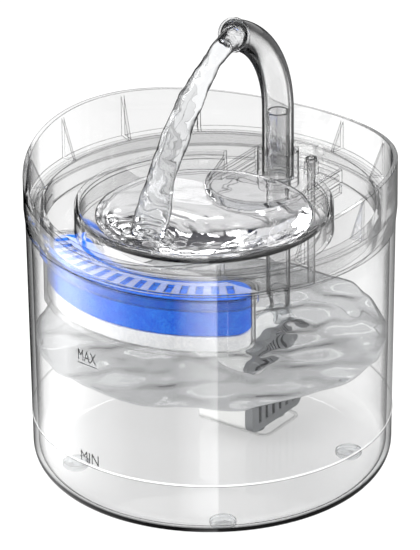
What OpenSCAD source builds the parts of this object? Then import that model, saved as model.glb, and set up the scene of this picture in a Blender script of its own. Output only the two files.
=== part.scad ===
// Pet water fountain: a clear jar with a drinking tray, a gooseneck spout,
// a crescent filter cartridge below the tray and a small submersible pump.
// Millimetres. Z is up, the origin is at the middle of the surface below the
// feet, the pet drinks from the -Y side and the spout stands at +Y.

/* [Tank] */
// Outer diameter of the tank at its rim
tank_d = 180; // [172:1:190]
// Height of the seam between tank and tray above the surface below the feet
seam_z = 133; // [126:1:142]
// Thickness of the tank wall
tank_wall = 2.6; // [2.2:0.1:3.0]
// Thickness of the tank floor
tank_floor = 3; // [2.6:0.1:3.6]
// How much smaller the radius is at the foot of the tank than at its rim
tank_draft = 1.2; // [0.6:0.1:1.8]
// Outside radius of the rounded lower edge
base_round = 14; // [10:0.5:18]
// Height of the lip that stands up into the channel of the tray
lip_h = 8; // [6:0.5:8.5]
// Thickness of that lip
lip_wall = 1.8; // [1.4:0.1:2.2]
// Height of the thin raised ring at the lowest water level
min_ring_z = 32.5; // [28:0.5:40]
// Height of that ring's face
min_ring_h = 0.8; // [0.5:0.1:1.2]

/* [Feet] */
// Diameter of each silicone foot
foot_d = 13; // [10:0.5:16]
// Height of each foot
foot_h = 3.2; // [2.8:0.1:4]
// How far the feet stand out below the tank
foot_drop = 2; // [1.5:0.1:2.4]
// Distance of the feet's middles from the tank's outer wall
foot_inset = 22; // [20:1:30]
// Direction of the first foot from the +X axis
foot_turn = 39; // [30:1:60]
// Number of feet
foot_count = 4; // [3:1:6]

/* [Tray] */
// Thickness of the splash wall
tray_wall = 2.4; // [2:0.1:2.8]
// How far the splash wall stands out past the seam
tray_flare = 0.8; // [0.4:0.1:1.2]
// Height over which the wall widens by that much
flare_h = 8; // [5:0.5:9]
// Height of the splash wall above the seam at the drinking side
rim_front_h = 12; // [11.5:0.5:15]
// Height of the splash wall at both sides
rim_side_h = 33.5; // [30:0.5:37]
// Height of the splash wall behind the spout
rim_back_h = 26; // [23:0.5:29]
// Height of the inner ledge above the seam
ledge_h = 10.5; // [10:0.5:11]
// Width of the channel between the splash wall and the moat wall
channel_w = 4.6; // [4.2:0.1:5.2]
// Thickness of ledge, moat walls and moat floor
moat_wall = 2; // [1.6:0.1:2.4]
// Depth of the moat floor below the seam
moat_drop = 3; // [2:0.5:4]
// How far the opening in the moat floor stays inside the bowl's wall
hole_land = 9; // [8:0.5:13]
// Number of ribs that could stand round the splash wall
rib_count = 14; // [10:1:18]
// Thickness of a rib
rib_t = 1.6; // [1.2:0.1:2]
// Width of a drain slot
slot_w = 3.6; // [2.6:0.1:3.8]
// Number of drain slots
slot_count = 16; // [10:1:17]
// Angle between two drain slots
slot_pitch = 5.6; // [5:0.1:5.7]
// Depth of the skirt that holds the filter cartridge
skirt_h = 5; // [4:0.5:7]
// Thickness of that skirt
skirt_wall = 1.4; // [1.2:0.1:1.6]

/* [Bowl] */
// Width of the moat at its narrowest, at the drinking side
moat_w = 12.5; // [11:0.5:14.5]
// Distance of the bowl's middle in front of the tank's middle
bowl_front = 5.5; // [4:0.5:6.5]
// Height of the bowl's rim above the seam
bowl_rim_h = 11; // [10:0.5:12]
// Depth of the dish below its edge
bowl_depth = 17; // [15:0.5:19]
// Radius of the rounded bead on the rim
bead_r = 1.3; // [1.1:0.1:1.5]
// Width of the raised bridge behind the bowl
bridge_w = 52; // [46:1:56]
// How far the bridge's rounded front end reaches in front of the spout
bridge_l = 43.6; // [38:0.2:46]
// Height of the bridge above the seam
bridge_h = 2; // [1:0.5:3]
// Height of the low kerb round the bridge
kerb_h = 1.6; // [1:0.1:2.2]

/* [Spout] */
// Distance of the spout's axis from the tank's outer wall
spout_inset = 31.4; // [30:0.2:33]
// Outer diameter of the spout pipe
spout_d = 15.7; // [15.2:0.1:16.2]
// Height above the seam at which the pipe starts to bend
bend_h = 36.5; // [36.5:0.5:42]
// Radius of the bend, at the middle of the pipe
bend_r = 55.5; // [50:0.5:60]
// Angle of the bend; the mouth keeps the slope that is left
bend_deg = 72; // [66:1:80]
// How far the bead at the mouth stands out
mouth_bead = 0.7; // [0.4:0.1:1]
// Thickness of the socket wall in the tray
socket_wall = 2.4; // [2:0.1:2.6]
// Height of the socket above the seam
socket_h = 15.5; // [14:0.5:17]
// Thickness of the washer below the spout
washer_t = 1.5; // [1.2:0.1:1.8]
// Width of the locating lug on the spout
lug_w = 2.5; // [2:0.1:3]
// Height of that lug
lug_h = 2.5; // [2:0.1:3]
// How far the spout turns to each side before the lug stops it
turn_deg = 30; // [20:1:30]

/* [Riser and cable guide] */
// Outer diameter of the riser pipe
riser_d = 12.1; // [11.7:0.1:12.3]
// Wall of the riser pipe
riser_wall = 1.3; // [1.1:0.1:1.5]
// Height above the seam at which the riser ends inside the spout
riser_top_h = 36; // [32:0.5:36]
// Length of the silicone sleeve round the foot of the riser
sleeve_l = 12; // [9:0.5:14]
// Wall of that sleeve
sleeve_wall = 1.6; // [1.2:0.1:2]
// Outer diameter of the cable guide
guide_d = 4; // [3.8:0.1:4.4]
// Wall of the cable guide
guide_wall = 0.6; // [0.5:0.05:0.7]
// Length of the cable guide below the moat floor
guide_l = 61; // [55:1:64]
// Sideways place of the cable guide
guide_x = 7; // [5:0.5:9]

/* [Filter cartridge] */
// Radial width of the cartridge
filter_w = 26; // [23:0.5:27]
// Angle between the middles of its two round ends
filter_span = 83; // [76:1:84]
// Height of the cartridge case
filter_h = 29.3; // [27:0.1:32]
// Wall of the cartridge case
case_wall = 1.6; // [1.3:0.1:1.9]
// Thickness of the white wadding pad
wadding_t = 8; // [7:0.1:9]
// Thickness of the carbon bed sealed in the wadding
carbon_t = 3.6; // [3:0.1:4.2]
// Wadding round the carbon bed
carbon_margin = 2.5; // [2:0.1:3]
// Width of a drain slot in the case floor
case_slot_w = 2.6; // [2:0.1:3]
// How far those slots stay from the sides of the case
case_slot_end = 5; // [4:0.5:7]
// Number of drain slots in the case floor
case_slots = 13; // [9:2:15]

/* [Pump] */
// Width of the pump
pump_w = 43.3; // [42:0.1:46]
// Depth of the pump from the grille to the back plate
pump_depth = 32.5; // [31.5:0.1:36]
// Height of the pump housing
pump_h = 30; // [29:0.5:34]
// Radius of its upright edges
pump_round = 4; // [3:0.5:5]
// Wall of the pump housing
pump_wall = 2; // [1.6:0.1:2.2]
// Distance of the grille's face in front of the outlet
grille_x = 9.5; // [9:0.1:11]
// Land between the outlet nozzle and the front edge of the housing
outlet_land = 0.3; // [0.2:0.05:0.6]
// Wall of the grille cover
grille_wall = 1.5; // [1.2:0.1:1.8]
// Number of slots in the grille
grille_slots = 6; // [4:1:7]
// Width of a grille slot
grille_slot_w = 2.2; // [1.6:0.1:2.6]
// Distance from the outlet to the pump's end wall
outlet_inset = 6.1; // [5.8:0.1:7]
// Height of the outlet nozzle above the housing
nozzle_h = 8; // [6:0.5:9]
// Bore of the outlet
outlet_bore = 5.4; // [4.6:0.1:5.8]
// Height of the suction cups
cup_h = 3; // [2.5:0.1:4]
// Diameter of a suction cup
cup_d = 10; // [8:0.5:11]
// Distance between the cups along X
cup_span_x = 20; // [17:1:21]
// Distance between the cups along Y
cup_span_y = 18; // [16:1:18]
// Diameter of a suction cup's stem
cup_stem_d = 3; // [2.6:0.1:3.4]

/* [Motor] */
// Diameter of the impeller
impeller_d = 17; // [15:0.5:18]
// Number of impeller vanes
vane_count = 6; // [4:1:8]
// Thickness of a vane
vane_t = 1.2; // [0.9:0.1:1.5]
// Diameter of the rotor magnet
magnet_d = 10; // [9:0.1:10.4]
// Length of the rotor magnet
magnet_l = 12; // [11:0.1:12.4]
// Gap between the magnet and its well
well_gap = 0.4; // [0.3:0.05:0.5]
// Wall of the rotor well
well_wall = 0.9; // [0.8:0.1:1.2]
// Diameter of the ceramic shaft
shaft_d = 2; // [1.8:0.1:2.4]
// Outer diameter of the shaft bushes
bush_d = 4.6; // [4.2:0.1:5.2]
// Thickness of the laminated stator core
core_t = 9; // [8:0.1:9.4]
// Width of each limb of the core
core_limb = 5; // [4.4:0.1:5.2]
// Build of the coil round the core
coil_build = 1.6; // [1.2:0.1:1.8]
// Thickness of the driver board
board_t = 1; // [0.8:0.1:1.2]
// Thickness of the sealed back plate
back_plate_t = 1.6; // [1.3:0.1:1.8]
// Outer diameter of the cable gland
gland_d = 7; // [6:0.1:8]
// Length of the gland outside the housing
gland_l = 4; // [3:0.5:6]
// Bore of the gland for a thin low-voltage lead
gland_bore = 2.8; // [2.4:0.1:3.2]

/* [Fits] */
// Radial clearance of a running or push fit
slip = 0.09; // [0.05:0.01:0.1]
// Gap between loose parts that seat on each other
seat = 0.2; // [0.15:0.05:0.3]
// Gap round parts that are dropped in
loose = 0.3; // [0.2:0.05:0.4]

/* [Hidden] */
$fn = 96;
eps = 0.01;

// Tank
tank_r = tank_d / 2;
foot_ring_r = tank_r - foot_inset;
spout_y = tank_r - spout_inset;
tank_foot_r = tank_r - tank_draft;
base_z = foot_drop;
floor_z = base_z + tank_floor;
tray_in_r = tank_r - tray_wall;
lip_gap = 0.6;
lip_out_r = tray_in_r - lip_gap;
lip_in_r = lip_out_r - lip_wall;
lip_root = 6;
ring_proud = 0.3;
foot_chamfer = 1.2;
pad_ridge_w = 1.2;
pad_ridge_h = 0.8;

// Tray
rim_z0 = seam_z + seat;
moat_out_r = tray_in_r - channel_w;
moat_in_r = moat_out_r - moat_wall;
moat_z = seam_z - moat_drop;
moat_under = moat_z - moat_wall;
ledge_z = seam_z + ledge_h;
// The rim follows a circle through its front, side and back heights
rim_spread = 2 * rim_side_h - rim_front_h - rim_back_h;
rim_cz = (2 * pow(rim_side_h, 2) - pow(rim_front_h, 2) - pow(rim_back_h, 2)
    - 2 * pow(tank_r, 2)) / (2 * rim_spread);
rim_cy = (pow(rim_side_h, 2) - pow(rim_front_h, 2) - pow(tank_r, 2)
    - 2 * (rim_side_h - rim_front_h) * rim_cz) / (2 * tank_r);
rim_r = sqrt(pow(rim_cy, 2) + pow(rim_side_h - rim_cz, 2));
function rim_h(y) = rim_cz + sqrt(pow(rim_r, 2) - pow(y - rim_cy, 2));
rib_least = 6;
rib_clear = 1.5;
// How far a rib or ring runs into the wall that it joins
root = 0.4;
slot_in_r = moat_in_r - moat_w + moat_wall;
slot_land = 1.5;
slot_out_r = moat_in_r - slot_land;

// Bowl
bowl_r = moat_in_r - moat_w - bowl_front;
moat_hole_r = bowl_r - hole_land;
bowl_in_r = bowl_r - moat_wall;
dish_edge_z = seam_z + bowl_rim_h - moat_wall;
dish_r = (pow(bowl_in_r, 2) + pow(bowl_depth, 2)) / (2 * bowl_depth);
dish_cz = dish_edge_z - bowl_depth + dish_r;
bridge_z = seam_z + bridge_h;
bridge_r = bridge_w / 2;
bridge_front_y = spout_y - bridge_l;
kerb_w = 2;

// Spout
socket_bore = spout_d + 2 * slip;
socket_d = socket_bore + 2 * socket_wall;
socket_floor_z = seam_z;
socket_top_z = seam_z + socket_h;
washer_z = socket_floor_z + seat / 2;
spout_z0 = washer_z + washer_t + seat / 2;
spout_bore = riser_d + 2 * slip;
bend_z = seam_z + bend_h;
bend_cy = spout_y - bend_r;
lug_z = socket_top_z - lug_h;
lug_proud = socket_wall - root;
bead_l = 2;
past_deg = 4;

// Filter cartridge
skirt_gap = 0.5;
filter_out_r = lip_in_r - skirt_gap - skirt_wall - loose;
filter_mid_r = filter_out_r - filter_w / 2;
// The round ends stand out past the long sides by this much
end_bulge = 0.15;
filter_top = moat_under - seat;
filter_z0 = filter_top - filter_h;
wadding_z = filter_z0 + case_wall + seat / 2;
foam_z = wadding_z + wadding_t + seat / 2;

// Pump
pump_y1 = spout_y + outlet_inset;
pump_y0 = pump_y1 - pump_w;
pump_cy = (pump_y0 + pump_y1) / 2;
pump_z0 = floor_z + cup_h;
pump_z1 = pump_z0 + pump_h;
back_x = grille_x - pump_depth;
nozzle_d = riser_d - 2 * riser_wall - 2 * slip;
split_x = nozzle_d / 2 + outlet_land;
front_x = split_x + seat;
chamber_l = 6.4;
volute_gap = 1.8;
chamber_r = impeller_d / 2 + volute_gap;
cap_t = 2;
inlet_d = 4;
cap_x = split_x - cap_t;
chamber_x = cap_x - chamber_l;
wall_x = chamber_x - pump_wall;
motor_y = spout_y - chamber_r + outlet_bore / 2;
motor_drop = 1;
motor_z = pump_z0 + pump_h / 2 - motor_drop;
magnet_x1 = chamber_x - seat;
magnet_x0 = magnet_x1 - magnet_l;
well_r = magnet_d / 2 + well_gap;
bush_t = 1.2;
well_x = magnet_x0 - bush_t - loose;
hub_r = 3.4;
disc_t = 1;
disc_x = chamber_x + disc_t / 2;
core_x1 = wall_x - coil_build - loose;
core_x0 = core_x1 - core_t;
core_hole_r = well_r + well_wall + seat;
core_y0 = pump_y0 + pump_wall + coil_build + 2 * loose;
core_end = 3.4;
core_web = 2.4;
core_y1 = motor_y + core_hole_r + core_end;
core_half_h = core_hole_r + core_web;
coil_half_h = core_half_h - core_limb - loose;
board_gap = 0.8;
gland_edge = 1;
gland_taper = 1.5;
gland_stem_d = gland_d - 2;
gland_z = pump_z1 - pump_wall - gland_d / 2 - gland_edge;
gland_x = back_x + back_plate_t + gland_d / 2 + 2 * gland_edge;
riser_z0 = pump_z1 + seat;
cup_shift = 1;
cup_lip = 0.8;
cup_cx = (back_x + grille_x) / 2 - cup_shift;
pad_side = 8;
pad_round = 5;
guide_gap = 1.2;
guide_y = moat_in_r - guide_d / 2 - guide_gap;
collar_wall = 1.5;
collar_h = 1;
guide_head_t = 0.9;

// ---- shared shapes ----

// Rounded rectangle centred on the origin, with true arcs at its corners
module round_rect(w, d, r) {
    square([w - 2 * r, d], center = true);
    square([w, d - 2 * r], center = true);
    for (sx = [-1, 1], sy = [-1, 1])
        translate([sx * (w / 2 - r), sy * (d / 2 - r)])
            circle(r);
}

// Upright ring
module ring(r_out, r_in, z0, z1) {
    translate([0, 0, z0])
        difference() {
            cylinder(r = r_out, h = z1 - z0, $fn = 180);
            translate([0, 0, -1])
                cylinder(r = r_in, h = z1 - z0 + 2, $fn = 180);
        }
}

// Cylinder along +X from x0 to x1
module along_x(r, x0, x1, y, z) {
    translate([x0, y, z])
        rotate([0, 90, 0])
            cylinder(r = r, h = x1 - x0);
}

// Half section of the jar between the axis and a drafted wall
module jar_section(r_top, r_foot, z0, z1, r_edge) {
    polygon([[0, z0 + r_edge], [r_foot, z0 + r_edge], [r_top, z1], [0, z1]]);
    translate([0, z0])
        square([r_foot - r_edge, r_edge + eps]);
    intersection() {
        translate([r_foot - r_edge, z0 + r_edge])
            circle(r_edge, $fn = 128);
        translate([0, z0])
            square([r_foot, r_edge + eps]);
    }
}

// Plan of the filter: a ring segment with round ends, grown by g all round
module bean(g) {
    w = filter_w + 2 * g;
    half = filter_span / 2;
    reach = 2 * tank_r;
    intersection() {
        difference() {
            circle(filter_mid_r + w / 2, $fn = 180);
            circle(filter_mid_r - w / 2, $fn = 180);
        }
        polygon([
            [0, 0],
            [reach * cos(270 - half), reach * sin(270 - half)],
            [reach * cos(270 - half / 2), reach * sin(270 - half / 2) - reach],
            [reach * cos(270 + half / 2), reach * sin(270 + half / 2) - reach],
            [reach * cos(270 + half), reach * sin(270 + half)]
        ]);
    }
    for (a = [270 - half, 270 + half])
        rotate(a)
            translate([filter_mid_r, 0])
                circle(w / 2 + end_bulge, $fn = 64);
}

module bean_block(g, z0, z1) {
    translate([0, 0, z0])
        linear_extrude(z1 - z0)
            bean(g);
}

// Path of the spout as a rod of radius r: upright, then a bend of the given angle
module spout_rod(r, z0, angle) {
    translate([0, spout_y, z0])
        cylinder(r = r, h = bend_z - z0, $fn = 64);
    translate([0, bend_cy, bend_z])
        rotate([90, 0, 90])
            rotate_extrude(angle = angle, $fn = 128)
                translate([bend_r, 0])
                    circle(r, $fn = 64);
}

// Plan of the bridge behind the bowl, drawn in by g
module bridge_plan(g) {
    intersection() {
        circle(moat_in_r + eps, $fn = 180);
        union() {
            translate([0, bridge_front_y + bridge_r])
                circle(bridge_r - g);
            translate([-bridge_r + g, bridge_front_y + bridge_r])
                square([bridge_w - 2 * g, tank_r]);
        }
    }
}

// Box with rounded edges along X, from x0 to x1, drawn in by g from the pump's width and height
module pump_block(x0, x1, g) {
    translate([x0, pump_cy, (pump_z0 + pump_z1) / 2])
        rotate([90, 0, 90])
            linear_extrude(x1 - x0)
                round_rect(pump_w - 2 * g, pump_h - 2 * g, max(pump_round - g, 1));
}

// ---- tank ----

module tank() {
    color([0.93, 0.95, 0.96, 0.35])
    difference() {
        union() {
            difference() {
                rotate_extrude($fn = 180)
                    jar_section(tank_r, tank_foot_r, base_z, seam_z, base_round);
                rotate_extrude($fn = 180)
                    jar_section(tank_r - tank_wall, tank_foot_r - tank_wall, floor_z,
                        seam_z + 1, base_round - tank_wall);
            }
            tank_lip();
            min_ring();
            pump_pad_ridge();
        }
        for (i = [0 : foot_count - 1])
            rotate(foot_turn + i * 360 / foot_count)
                translate([foot_ring_r, 0, 0])
                    cylinder(d = foot_d, h = foot_h);
        cable_notch();
    }
}

// Lip above the seam, with its thickened root inside the wall
module tank_lip() {
    ring(lip_out_r, lip_in_r, seam_z - lip_root, seam_z + lip_h);
    rotate_extrude($fn = 180)
        polygon([
            [lip_in_r, seam_z - lip_root],
            [tank_r - tank_wall / 2, seam_z - 2 * lip_root],
            [tank_r - tank_wall / 2, seam_z],
            [lip_in_r, seam_z]
        ]);
}

// Thin raised ring at the lowest level
module min_ring() {
    wall_run = seam_z - base_z - base_round;
    r_here = tank_foot_r + tank_draft * (min_ring_z - base_z - base_round) / wall_run;
    ring(r_here + ring_proud, r_here - tank_wall / 2, min_ring_z - min_ring_h / 2,
        min_ring_z + min_ring_h / 2);
}

// Low ridge on the floor that frames the pump's place
module pump_pad_ridge() {
    w = cup_span_x + cup_d + 4 * pad_ridge_w + pad_side;
    d = cup_span_y + cup_d + 3 * pad_ridge_w;
    translate([cup_cx, pump_cy, floor_z - eps])
        linear_extrude(pad_ridge_h + eps)
            difference() {
                round_rect(w, d, pad_round);
                round_rect(w - 2 * pad_ridge_w, d - 2 * pad_ridge_w, pad_round - pad_ridge_w);
            }
}

// Notch in the back of the lip where the lead leaves
module cable_notch() {
    translate([guide_x, tank_r - tank_wall, seam_z + lip_h - guide_d / 2])
        rotate([90, 0, 0])
            cylinder(d = guide_d + 2 * lip_gap, h = 2 * channel_w, center = true);
}

module tank_feet() {
    color([0.86, 0.88, 0.9, 0.6])
    for (i = [0 : foot_count - 1])
        rotate(foot_turn + i * 360 / foot_count)
            translate([foot_ring_r, 0, 0])
                rotate_extrude()
                    difference() {
                        square([foot_d / 2, foot_h]);
                        translate([foot_d / 2 + foot_chamfer / 6, -foot_chamfer / 6])
                            circle(foot_chamfer);
                    }
}

// ---- tray ----

module tray() {
    color([0.93, 0.95, 0.96, 0.35])
    difference() {
        union() {
            splash_wall();
            ribs();
            moat();
            difference() {
                bowl_shell();
                translate([0, 0, moat_under - bowl_depth])
                    linear_extrude(3 * bowl_depth + ledge_h)
                        bridge_plan(0);
            }
            bridge();
            filter_skirt();
            translate([0, spout_y, moat_under])
                cylinder(d = socket_d, h = socket_top_z - moat_under);
            guide_collar();
        }
        socket_cuts();
        drain_slots();
        translate([guide_x, guide_y, moat_under - 1])
            cylinder(d = guide_d + 2 * slip, h = bridge_z - moat_under + guide_d + 2);
    }
}

// Everything that the sloping rim leaves
module below_rim(drop) {
    translate([0, rim_cy, seam_z + rim_cz])
        rotate([0, 90, 0])
            cylinder(r = rim_r - drop, h = 3 * tank_r, center = true, $fn = 360);
}

module splash_wall() {
    intersection() {
        rotate_extrude($fn = 180)
            polygon([
                [tray_in_r, rim_z0],
                [tank_r, rim_z0],
                [tank_r + tray_flare, rim_z0 + flare_h],
                [tank_r + tray_flare, seam_z + 2 * rim_side_h],
                [tray_in_r + tray_flare, seam_z + 2 * rim_side_h],
                [tray_in_r + tray_flare, rim_z0 + flare_h]
            ]);
        below_rim(0);
    }
}

// Triangular ribs between the ledge and the wall, where the wall is high enough
module ribs() {
    for (i = [0 : rib_count - 1]) {
        a = i * 360 / rib_count;
        top = rim_h(tank_r * sin(a)) - rib_clear;
        if (top - ledge_h > rib_least)
            rotate(a)
                rotate([90, 0, 0])
                    linear_extrude(rib_t, center = true)
                        polygon([
                            [moat_in_r + root, ledge_z - eps],
                            [tray_in_r + tray_flare + root, ledge_z - eps],
                            [tray_in_r + tray_flare + root, seam_z + top],
                            [tray_in_r + tray_flare, seam_z + top]
                        ]);
    }
}

// Ledge, moat wall and moat floor
module moat() {
    ring(tray_in_r + tray_flare + root, moat_in_r, ledge_z - moat_wall, ledge_z);
    ring(moat_out_r, moat_in_r, moat_under, ledge_z);
    ring(moat_out_r, moat_hole_r, moat_under, moat_z);
}

// Dish, upright wall and rim bead of the bowl
module bowl_shell() {
    translate([0, -bowl_front, 0]) {
        intersection() {
            translate([0, 0, dish_cz])
                rotate([90, 0, 0])
                    difference() {
                        sphere(dish_r + moat_wall, $fn = 360);
                        sphere(dish_r, $fn = 360);
                    }
            translate([0, 0, dish_edge_z - 2 * bowl_depth])
                cylinder(r = bowl_r - moat_wall / 2, h = 2 * bowl_depth, $fn = 180);
        }
        ring(bowl_r, bowl_in_r, moat_under, seam_z + bowl_rim_h - bead_r);
        rotate_extrude($fn = 180)
            translate([bowl_r - bead_r, seam_z + bowl_rim_h - bead_r])
                circle(bead_r);
    }
}

// Raised bridge that carries the socket, hollow from below
module bridge() {
    translate([0, 0, moat_under - bowl_depth / 4])
        linear_extrude(bridge_z - moat_under + bowl_depth / 4)
            difference() {
                bridge_plan(0);
                bridge_plan(moat_wall);
            }
    translate([0, 0, bridge_z - moat_wall])
        linear_extrude(moat_wall)
            bridge_plan(0);
    translate([0, 0, bridge_z - eps])
        linear_extrude(kerb_h + eps)
            difference() {
                bridge_plan(0);
                bridge_plan(kerb_w);
            }
}

// Skirt below the moat floor that the filter case pushes into
module filter_skirt() {
    difference() {
        bean_block(loose + skirt_wall, moat_under - skirt_h, moat_under + eps);
        bean_block(loose, moat_under - skirt_h - 1, moat_under);
    }
}

module guide_collar() {
    translate([guide_x, guide_y, moat_under])
        cylinder(r = guide_d / 2 + collar_wall, h = bridge_z - moat_under + collar_h);
}

// Bore for the spout, hole for the riser and the notch for the spout's lug
module socket_cuts() {
    translate([0, spout_y, socket_floor_z])
        cylinder(d = socket_bore, h = socket_h + 1);
    translate([0, spout_y, moat_under - bowl_depth])
        cylinder(d = riser_d + 2 * loose, h = socket_floor_z - moat_under + bowl_depth + 1);
    half = turn_deg + lug_angle() + loose_angle();
    translate([0, spout_y, lug_z - loose])
        linear_extrude(lug_h + 2)
            intersection() {
                circle(d = socket_d + 1);
                polygon([
                    [0, 0],
                    [socket_d * sin(half), socket_d * cos(half)],
                    [0, 2 * socket_d],
                    [-socket_d * sin(half), socket_d * cos(half)]
                ]);
            }
}

// Half the angle that the lug takes on the socket, and its end clearance
function lug_angle() = asin(lug_w / 2 / (spout_d / 2));
function loose_angle() = asin(loose / (spout_d / 2));

module drain_slots() {
    for (i = [0 : slot_count - 1])
        rotate(270 + (i - (slot_count - 1) / 2) * slot_pitch)
            translate([slot_in_r, -slot_w / 2, moat_under - 1])
                cube([slot_out_r - slot_in_r, slot_w, moat_wall + 2]);
}

// ---- spout and riser ----

module spout() {
    color([0.93, 0.95, 0.96, 0.35])
    difference() {
        union() {
            spout_rod(spout_d / 2, spout_z0, bend_deg);
            translate([0, bend_cy, bend_z])
                rotate([bend_deg, 0, 0])
                    translate([0, bend_r, root - bead_l])
                        cylinder(d = spout_d + 2 * mouth_bead, h = bead_l);
            translate([-lug_w / 2, spout_y, lug_z])
                cube([lug_w, spout_d / 2 + lug_proud, lug_h]);
        }
        spout_rod(spout_bore / 2, spout_z0 - 1, bend_deg + past_deg);
    }
}

module spout_washer() {
    color([0.8, 0.82, 0.84, 0.7])
    translate([0, spout_y, 0])
        ring(spout_d / 2, riser_d / 2 + loose, washer_z, washer_z + washer_t);
}

module riser_tube() {
    color([0.93, 0.95, 0.96, 0.35])
    translate([0, spout_y, 0])
        ring(riser_d / 2, riser_d / 2 - riser_wall, riser_z0, seam_z + riser_top_h);
}

module riser_sleeve() {
    color([0.85, 0.86, 0.88, 0.8])
    translate([0, spout_y, 0])
        ring(riser_d / 2 + slip + sleeve_wall, riser_d / 2 + slip, riser_z0, riser_z0 + sleeve_l);
}

module cable_guide() {
    color([0.93, 0.95, 0.96, 0.35])
    translate([guide_x, guide_y, 0]) {
        ring(guide_d / 2, guide_d / 2 - guide_wall, moat_under - guide_l, bridge_z + 3 * collar_h);
        ring(guide_d / 2 + guide_head_t, guide_d / 2 - guide_wall, bridge_z + collar_h + seat,
            bridge_z + 3 * collar_h);
    }
}

// ---- filter cartridge ----

module filter_case() {
    color([0.93, 0.95, 0.96, 0.35])
    difference() {
        bean_block(0, filter_z0, filter_top);
        bean_block(-case_wall, filter_z0 + case_wall, filter_top + 1);
        for (i = [0 : case_slots - 1])
            rotate(270 + (i - (case_slots - 1) / 2) * filter_span / case_slots)
                translate([filter_mid_r - filter_w / 2 + case_slot_end, -case_slot_w / 2, filter_z0 - 1])
                    cube([filter_w - 2 * case_slot_end, case_slot_w, case_wall + 2]);
    }
}

module filter_foam() {
    color([0.2, 0.45, 0.95])
    bean_block(-case_wall - loose, foam_z, filter_top - seat);
}

module filter_wadding() {
    color([0.97, 0.97, 0.97])
    difference() {
        bean_block(-case_wall - loose, wadding_z, wadding_z + wadding_t);
        carbon_space(0);
    }
}

// Pocket inside the wadding
module carbon_space(g) {
    bean_block(-case_wall - loose - carbon_margin - g,
        wadding_z + (wadding_t - carbon_t) / 2 + g, wadding_z + (wadding_t + carbon_t) / 2 - g);
}

module carbon_bed() {
    color([0.12, 0.12, 0.13])
    carbon_space(0.1);
}

// ---- pump ----

module pump_housing() {
    color([0.95, 0.95, 0.95])
    difference() {
        union() {
            difference() {
                pump_block(back_x, split_x, 0);
                pump_block(back_x - 1, wall_x, pump_wall);
            }
            along_x(well_r + well_wall, well_x - well_wall, wall_x + eps, motor_y, motor_z);
            translate([0, spout_y, motor_z])
                cylinder(d = nozzle_d, h = pump_z1 - motor_z + nozzle_h);
        }
        along_x(chamber_r, chamber_x, split_x + 1, motor_y, motor_z);
        along_x(well_r, well_x, chamber_x + 1, motor_y, motor_z);
        translate([0, spout_y, motor_z])
            cylinder(d = outlet_bore, h = pump_h + nozzle_h + 1);
        cup_stems(cup_stem_d + 2 * slip, pump_wall);
        translate([gland_x, pump_y1 + 1, gland_z])
            rotate([90, 0, 0])
                cylinder(d = gland_stem_d, h = pump_wall + 2);
    }
}

module pump_grille() {
    color([0.38, 0.39, 0.4])
    difference() {
        pump_block(front_x, grille_x, 0);
        pump_block(front_x - 1, grille_x - grille_wall, grille_wall);
        pitch = (pump_w - 2 * pump_round) / grille_slots;
        for (i = [0 : grille_slots - 1])
            translate([front_x, pump_cy + (i - (grille_slots - 1) / 2) * pitch - grille_slot_w / 2,
                pump_z0 + pump_round])
                cube([grille_x - front_x + 1, grille_slot_w, pump_h - 2 * pump_round]);
    }
}

module grille_sponge() {
    color([0.16, 0.16, 0.17])
    pump_block(front_x + seat, grille_x - grille_wall - seat, grille_wall + loose);
}

module impeller_cover() {
    color([0.9, 0.9, 0.9])
    difference() {
        along_x(chamber_r - slip, cap_x, split_x - seat / 2, motor_y, motor_z);
        for (i = [0 : 3])
            translate([0, motor_y, motor_z])
                rotate([i * 90 + 45, 0, 0])
                    translate([cap_x - 1, 0, (bush_d / 2 + chamber_r) / 2])
                        rotate([0, 90, 0])
                            cylinder(d = inlet_d, h = cap_t + 2);
        along_x(bush_d / 2, cap_x - 1, cap_x + bush_t, motor_y, motor_z);
    }
}

module impeller() {
    color([0.92, 0.92, 0.9])
    difference() {
        union() {
            along_x(impeller_d / 2, disc_x, disc_x + disc_t, motor_y, motor_z);
            along_x(hub_r, magnet_x1, cap_x - 2 * loose, motor_y, motor_z);
            for (i = [0 : vane_count - 1])
                translate([disc_x + disc_t - eps, motor_y, motor_z])
                    rotate([i * 360 / vane_count, 0, 0])
                        translate([0, hub_r - 1, -vane_t / 2])
                            cube([chamber_l - 2.5 * disc_t, impeller_d / 2 - hub_r + 1, vane_t]);
        }
        along_x(shaft_d / 2 + slip, magnet_x1 - 1, cap_x + 1, motor_y, motor_z);
    }
}

module rotor_magnet() {
    color([0.22, 0.22, 0.23])
    difference() {
        along_x(magnet_d / 2, magnet_x0, magnet_x1, motor_y, motor_z);
        along_x(shaft_d / 2 + slip, magnet_x0 - 1, magnet_x1 + 1, motor_y, motor_z);
    }
}

module rotor_shaft() {
    color([0.95, 0.94, 0.9])
    along_x(shaft_d / 2, well_x + 0.2, cap_x + bush_t - 0.2, motor_y, motor_z);
}

// Soft bush that holds one end of the shaft
module bush(x0, x1) {
    color([0.15, 0.15, 0.15])
    difference() {
        along_x(bush_d / 2 - slip, x0, x1, motor_y, motor_z);
        along_x(shaft_d / 2 + slip / 3, x0 - 1, x1 + 1, motor_y, motor_z);
    }
}

module front_bush() {
    bush(cap_x, cap_x + bush_t - 0.1);
}

module rear_bush() {
    color([0.15, 0.15, 0.15])
    difference() {
        along_x(well_r - slip, well_x + 0.1, well_x + bush_t, motor_y, motor_z);
        along_x(shaft_d / 2 + slip / 3, well_x - 1, well_x + bush_t + 1, motor_y, motor_z);
    }
}

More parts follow.
